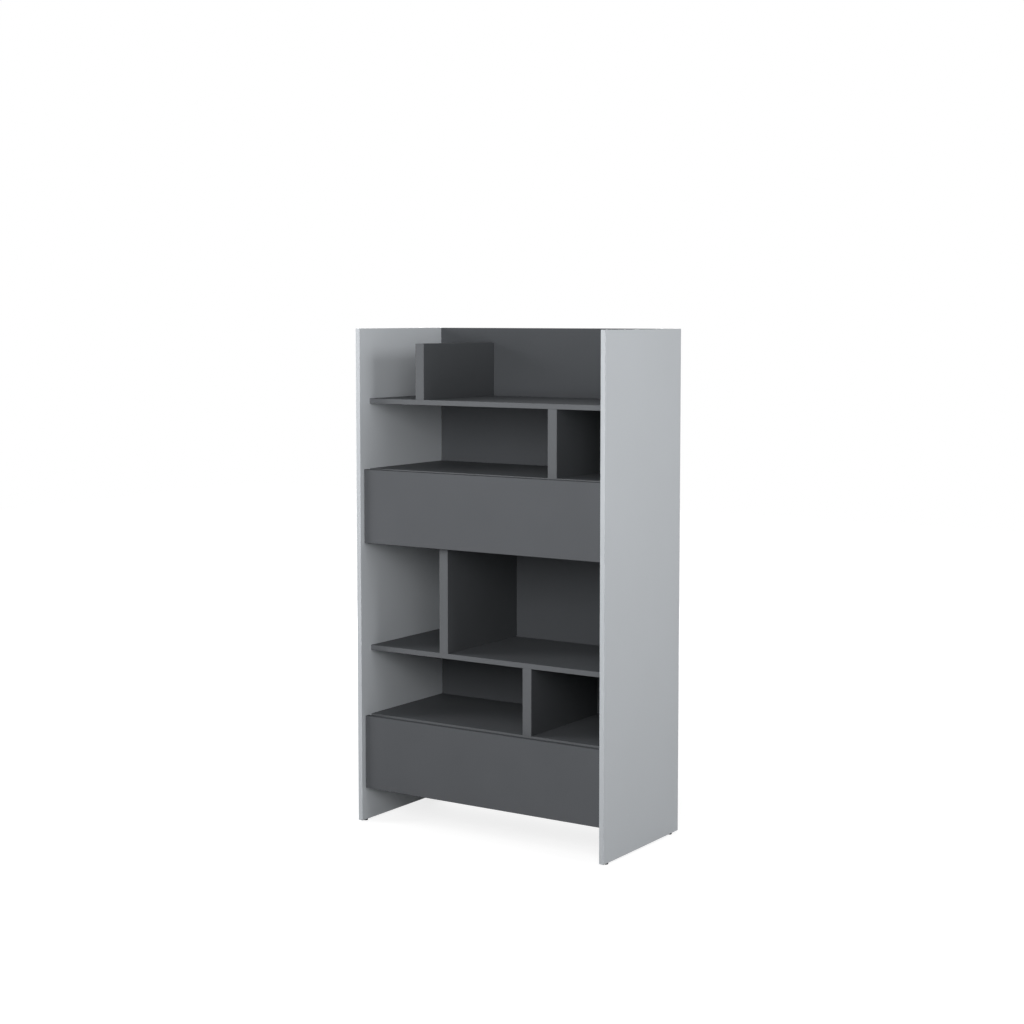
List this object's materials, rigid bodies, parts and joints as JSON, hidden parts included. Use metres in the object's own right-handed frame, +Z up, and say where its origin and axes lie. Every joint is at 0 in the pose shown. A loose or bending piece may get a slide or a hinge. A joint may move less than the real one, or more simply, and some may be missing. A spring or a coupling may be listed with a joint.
{
  "type": "bookcase with drawers",
  "caption": "Tall free-standing open bookcase with pale side panels, dark shelves, off-centre dividers and handle-less drawers on full-extension ball runners.",
  "frame": {"origin": "on the floor, under the middle of the unit's width and depth", "axes": "+X to the right seen from the front, +Y from the front to the back, +Z up"},
  "size_m": [0.92, 0.46, 1.59],
  "materials": {
    "side_laminate": "matte light grey laminate on particle board",
    "graphite_laminate": "matte graphite laminate on particle board",
    "drawer_box_board": "matte grey laminate on thin particle board",
    "drawer_bottom_board": "grey faced fibreboard",
    "runner_steel": "zinc plated sheet",
    "cage_plastic": "black moulded strip",
    "glide_plastic": "black moulded",
    "zinc_fittings": "die-cast zinc, tumbled",
    "beech_dowel": "bare fluted beech"
  },
  "bodies": {
    "carcass": {"left_side_panel": "side_laminate", "right_side_panel": "side_laminate", "back_panel": "graphite_laminate", "lower_drawer_floor": "graphite_laminate", "lower_drawer_roof": "graphite_laminate", "middle_shelf": "graphite_laminate", "upper_drawer_floor": "graphite_laminate", "upper_drawer_roof": "graphite_laminate", "top_shelf": "graphite_laminate", "lower_divider": "graphite_laminate", "middle_divider": "graphite_laminate", "upper_divider": "graphite_laminate", "top_divider": "graphite_laminate", "glide_feet": "glide_plastic", "shelf_cam_locks": "zinc_fittings", "shelf_cam_bolts": "zinc_fittings", "shelf_dowels": "beech_dowel", "back_dowels": "beech_dowel", "divider_dowels": "beech_dowel", "lower_left_runner_cabinet_member": "runner_steel", "lower_right_runner_cabinet_member": "runner_steel", "upper_left_runner_cabinet_member": "runner_steel", "upper_right_runner_cabinet_member": "runner_steel"},
    "lower_drawer": {"lower_drawer_front": "graphite_laminate", "lower_drawer_left_side": "drawer_box_board", "lower_drawer_right_side": "drawer_box_board", "lower_drawer_back": "drawer_box_board", "lower_drawer_bottom": "drawer_bottom_board", "lower_drawer_dowels": "beech_dowel", "lower_left_runner_drawer_member": "runner_steel", "lower_right_runner_drawer_member": "runner_steel"},
    "lower_runner_middles": {"lower_left_runner_middle_member": "runner_steel", "lower_right_runner_middle_member": "runner_steel"},
    "lower_outer_cages": {"lower_outer_ball_cages": "cage_plastic"},
    "lower_inner_cages": {"lower_inner_ball_cages": "cage_plastic"},
    "upper_drawer": {"upper_drawer_front": "graphite_laminate", "upper_drawer_left_side": "drawer_box_board", "upper_drawer_right_side": "drawer_box_board", "upper_drawer_back": "drawer_box_board", "upper_drawer_bottom": "drawer_bottom_board", "upper_drawer_dowels": "beech_dowel", "upper_left_runner_drawer_member": "runner_steel", "upper_right_runner_drawer_member": "runner_steel"},
    "upper_runner_middles": {"upper_left_runner_middle_member": "runner_steel", "upper_right_runner_middle_member": "runner_steel"},
    "upper_outer_cages": {"upper_outer_ball_cages": "cage_plastic"},
    "upper_inner_cages": {"upper_inner_ball_cages": "cage_plastic"}
  },
  "joints": [
    {"name": "lower_drawer_slide", "type": "slide", "parent": "carcass", "child": "lower_drawer", "axis": [0, -1, 0], "range_m": [0, 0.4]},
    {"name": "lower_middles_slide", "type": "slide", "parent": "carcass", "child": "lower_runner_middles", "axis": [0, -1, 0], "range_m": [0, 0.2]},
    {"name": "lower_outer_cages_slide", "type": "slide", "parent": "carcass", "child": "lower_outer_cages", "axis": [0, -1, 0], "range_m": [0, 0.1]},
    {"name": "lower_inner_cages_slide", "type": "slide", "parent": "carcass", "child": "lower_inner_cages", "axis": [0, -1, 0], "range_m": [0, 0.3]},
    {"name": "upper_drawer_slide", "type": "slide", "parent": "carcass", "child": "upper_drawer", "axis": [0, -1, 0], "range_m": [0, 0.4]},
    {"name": "upper_middles_slide", "type": "slide", "parent": "carcass", "child": "upper_runner_middles", "axis": [0, -1, 0], "range_m": [0, 0.2]},
    {"name": "upper_outer_cages_slide", "type": "slide", "parent": "carcass", "child": "upper_outer_cages", "axis": [0, -1, 0], "range_m": [0, 0.1]},
    {"name": "upper_inner_cages_slide", "type": "slide", "parent": "carcass", "child": "upper_inner_cages", "axis": [0, -1, 0], "range_m": [0, 0.3]}
  ],
  "couplings": [
    {"joint": "lower_middles_slide", "follows": "lower_drawer_slide", "ratio": 0.5},
    {"joint": "lower_outer_cages_slide", "follows": "lower_drawer_slide", "ratio": 0.25},
    {"joint": "lower_inner_cages_slide", "follows": "lower_drawer_slide", "ratio": 0.75},
    {"joint": "upper_middles_slide", "follows": "upper_drawer_slide", "ratio": 0.5},
    {"joint": "upper_outer_cages_slide", "follows": "upper_drawer_slide", "ratio": 0.25},
    {"joint": "upper_inner_cages_slide", "follows": "upper_drawer_slide", "ratio": 0.75}
  ]
}
